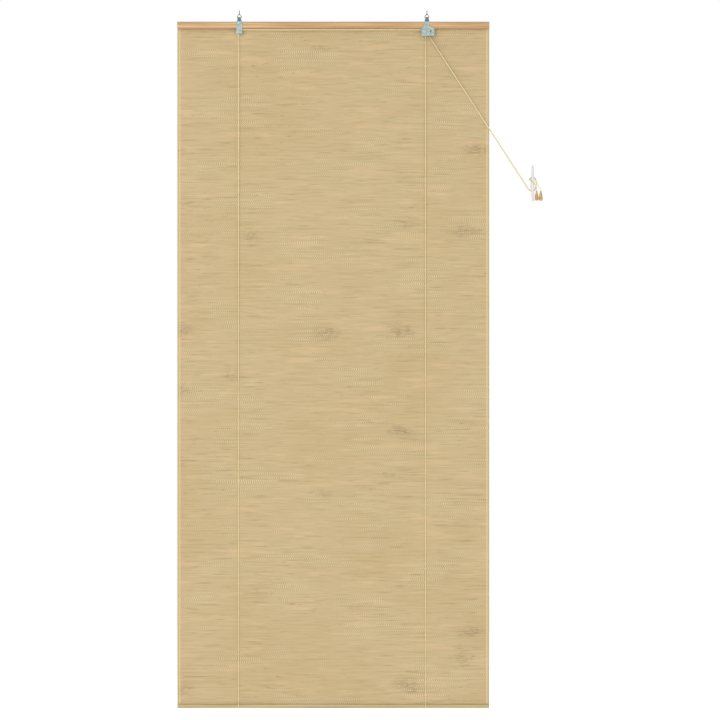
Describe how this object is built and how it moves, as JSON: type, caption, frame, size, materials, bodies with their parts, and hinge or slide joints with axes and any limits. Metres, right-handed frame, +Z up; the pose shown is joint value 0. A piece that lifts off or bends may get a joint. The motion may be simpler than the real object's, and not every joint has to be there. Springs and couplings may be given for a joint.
{
  "type": "roll-up bamboo blind",
  "caption": "Roll-up blind of woven bamboo slats on a wooden headrail, hung from ceiling hooks, with lift cords led to a wall cleat.",
  "frame": {"origin": "ceiling plane, midway between the two screw hooks, above the mat", "axes": "+Z up, +X to the right of somebody facing the blind, +Y towards the wall or window"},
  "size_m": [1.1708, 0.0504, 2.2405],
  "materials": {
    "reddish_wood": "thin reddish stain, satin",
    "bamboo_mat": "bare split bamboo, matt",
    "pale_wood": "bare wood, matt",
    "turned_wood": "clear lacquer",
    "cotton_cord": "braided cord, pale yellow",
    "galvanised_steel": "galvanised, dull",
    "brass": "pressed brass",
    "white_plastic": "moulded, greyish white"
  },
  "bodies": {
    "building": {"screw_hook_left": "galvanised_steel", "screw_hook_right": "galvanised_steel", "cleat": "white_plastic", "cleat_screw_upper": "galvanised_steel", "cleat_screw_lower": "galvanised_steel", "pull_cord_front": "cotton_cord", "pull_cord_rear": "cotton_cord", "acorn_front": "turned_wood", "acorn_rear": "turned_wood"},
    "headrail": {"headrail": "reddish_wood", "mat_head": "bamboo_mat", "mat_upper": "bamboo_mat", "mat_staple_1": "galvanised_steel", "mat_staple_2": "galvanised_steel", "mat_staple_3": "galvanised_steel", "mat_staple_4": "galvanised_steel", "mat_staple_5": "galvanised_steel", "hanger_left": "galvanised_steel", "hanger_right": "galvanised_steel", "hanger_screw_left": "galvanised_steel", "hanger_screw_right": "galvanised_steel", "hanging_ring_left": "galvanised_steel", "hanging_ring_right": "galvanised_steel", "sheave_axle_left": "galvanised_steel", "sheave_axle_right": "galvanised_steel", "guide_pin": "galvanised_steel", "lift_cord_left": "cotton_cord", "lift_cord_right": "cotton_cord", "cord_knot_left": "cotton_cord", "cord_knot_right": "cotton_cord"},
    "carrier": {"mat_leader": "bamboo_mat"},
    "strip_01": {"mat_strip_01": "bamboo_mat"},
    "strip_02": {"mat_strip_02": "bamboo_mat"},
    "strip_03": {"mat_strip_03": "bamboo_mat"},
    "strip_04": {"mat_strip_04": "bamboo_mat"},
    "strip_05": {"mat_strip_05": "bamboo_mat"},
    "strip_06": {"mat_strip_06": "bamboo_mat"},
    "strip_07": {"mat_strip_07": "bamboo_mat"},
    "strip_08": {"mat_strip_08": "bamboo_mat"},
    "strip_09": {"mat_strip_09": "bamboo_mat"},
    "strip_10": {"mat_strip_10": "bamboo_mat"},
    "strip_11": {"mat_strip_11": "bamboo_mat"},
    "strip_12": {"mat_strip_12": "bamboo_mat"},
    "strip_13": {"mat_strip_13": "bamboo_mat"},
    "strip_14": {"mat_strip_14": "bamboo_mat"},
    "strip_15": {"mat_strip_15": "bamboo_mat"},
    "strip_16": {"mat_strip_16": "bamboo_mat", "foot_batten": "pale_wood"},
    "sheave_left": {"sheave_left": "brass"},
    "sheave_right_front": {"sheave_right_front": "brass"},
    "sheave_right_rear": {"sheave_right_rear": "brass"},
    "cord_lock": {"lock_roller": "brass"}
  },
  "joints": [
    {"name": "blind_swing", "type": "hinge", "parent": "building", "child": "headrail", "pos_m": [0, -0.0075, -0.0054], "axis": [-1, 0, 0], "range_deg": [-0.3, 12], "deforming": ["pull_cord_front", "pull_cord_rear"]},
    {"name": "lift", "type": "slide", "parent": "headrail", "child": "carrier", "axis": [0, 0, 1], "range_m": [0, 1.1244], "deforming": ["mat_upper", "lift_cord_left", "lift_cord_right"]},
    {"name": "curl_01", "type": "hinge", "parent": "carrier", "child": "strip_01", "pos_m": [0, -0.00135, -1.286], "axis": [-1, 0, 0], "range_deg": [0, 60.01]},
    {"name": "curl_02", "type": "hinge", "parent": "strip_01", "child": "strip_02", "pos_m": [0, -0.00135, -1.36], "axis": [-1, 0, 0], "range_deg": [0, 60.01]},
    {"name": "curl_03", "type": "hinge", "parent": "strip_02", "child": "strip_03", "pos_m": [0, -0.00135, -1.432], "axis": [-1, 0, 0], "range_deg": [0, 60.01]},
    {"name": "curl_04", "type": "hinge", "parent": "strip_03", "child": "strip_04", "pos_m": [0, -0.00135, -1.502], "axis": [-1, 0, 0], "range_deg": [0, 60.01]},
    {"name": "curl_05", "type": "hinge", "parent": "strip_04", "child": "strip_05", "pos_m": [0, -0.00135, -1.57], "axis": [-1, 0, 0], "range_deg": [0, 60.01]},
    {"name": "curl_06", "type": "hinge", "parent": "strip_05", "child": "strip_06", "pos_m": [0, -0.00135, -1.636], "axis": [-1, 0, 0], "range_deg": [0, 60.01]},
    {"name": "curl_07", "type": "hinge", "parent": "strip_06", "child": "strip_07", "pos_m": [0, -0.00135, -1.7], "axis": [-1, 0, 0], "range_deg": [0, 60.01]},
    {"name": "curl_08", "type": "hinge", "parent": "strip_07", "child": "strip_08", "pos_m": [0, -0.00135, -1.762], "axis": [-1, 0, 0], "range_deg": [0, 60.01]},
    {"name": "curl_09", "type": "hinge", "parent": "strip_08", "child": "strip_09", "pos_m": [0, -0.00135, -1.822], "axis": [-1, 0, 0], "range_deg": [0, 60.01]},
    {"name": "curl_10", "type": "hinge", "parent": "strip_09", "child": "strip_10", "pos_m": [0, -0.00135, -1.88], "axis": [-1, 0, 0], "range_deg": [0, 60.01]},
    {"name": "curl_11", "type": "hinge", "parent": "strip_10", "child": "strip_11", "pos_m": [0, -0.00135, -1.936], "axis": [-1, 0, 0], "range_deg": [0, 60.01]},
    {"name": "curl_12", "type": "hinge", "parent": "strip_11", "child": "strip_12", "pos_m": [0, -0.00135, -1.99], "axis": [-1, 0, 0], "range_deg": [0, 60.01]},
    {"name": "curl_13", "type": "hinge", "parent": "strip_12", "child": "strip_13", "pos_m": [0, -0.00135, -2.042], "axis": [-1, 0, 0], "range_deg": [0, 60.01]},
    {"name": "curl_14", "type": "hinge", "parent": "strip_13", "child": "strip_14", "pos_m": [0, -0.00135, -2.092], "axis": [-1, 0, 0], "range_deg": [0, 60.01]},
    {"name": "curl_15", "type": "hinge", "parent": "strip_14", "child": "strip_15", "pos_m": [0, -0.00135, -2.14], "axis": [-1, 0, 0], "range_deg": [0, 60.01]},
    {"name": "curl_16", "type": "hinge", "parent": "strip_15", "child": "strip_16", "pos_m": [0, -0.00135, -2.186], "axis": [-1, 0, 0], "range_deg": [0, 60.01]},
    {"name": "sheave_left_spin", "type": "hinge", "parent": "headrail", "child": "sheave_left", "pos_m": [-0.2994, -0.0102, -0.0605], "axis": [0, 1, 0], "continuous": true},
    {"name": "sheave_right_front_spin", "type": "hinge", "parent": "headrail", "child": "sheave_right_front", "pos_m": [0.3002, -0.0102, -0.0605], "axis": [0, 1, 0], "continuous": true},
    {"name": "sheave_right_rear_spin", "type": "hinge", "parent": "headrail", "child": "sheave_right_rear", "pos_m": [0.3002, -0.006, -0.0605], "axis": [0, 1, 0], "continuous": true},
    {"name": "cord_lock_slide", "type": "slide", "parent": "headrail", "child": "cord_lock", "axis": [-0.7071, 0, -0.7071], "range_m": [0, 0.0018]}
  ],
  "couplings": [
    {"joint": "curl_01", "follows": "lift", "rad_per_m": 0.93134},
    {"joint": "curl_02", "follows": "lift", "rad_per_m": 0.93134},
    {"joint": "curl_03", "follows": "lift", "rad_per_m": 0.93134},
    {"joint": "curl_04", "follows": "lift", "rad_per_m": 0.93134},
    {"joint": "curl_05", "follows": "lift", "rad_per_m": 0.93134},
    {"joint": "curl_06", "follows": "lift", "rad_per_m": 0.93134},
    {"joint": "curl_07", "follows": "lift", "rad_per_m": 0.93134},
    {"joint": "curl_08", "follows": "lift", "rad_per_m": 0.93134},
    {"joint": "curl_09", "follows": "lift", "rad_per_m": 0.93134},
    {"joint": "curl_10", "follows": "lift", "rad_per_m": 0.93134},
    {"joint": "curl_11", "follows": "lift", "rad_per_m": 0.93134},
    {"joint": "curl_12", "follows": "lift", "rad_per_m": 0.93134},
    {"joint": "curl_13", "follows": "lift", "rad_per_m": 0.93134},
    {"joint": "curl_14", "follows": "lift", "rad_per_m": 0.93134},
    {"joint": "curl_15", "follows": "lift", "rad_per_m": 0.93134},
    {"joint": "curl_16", "follows": "lift", "rad_per_m": 0.93134}
  ]
}
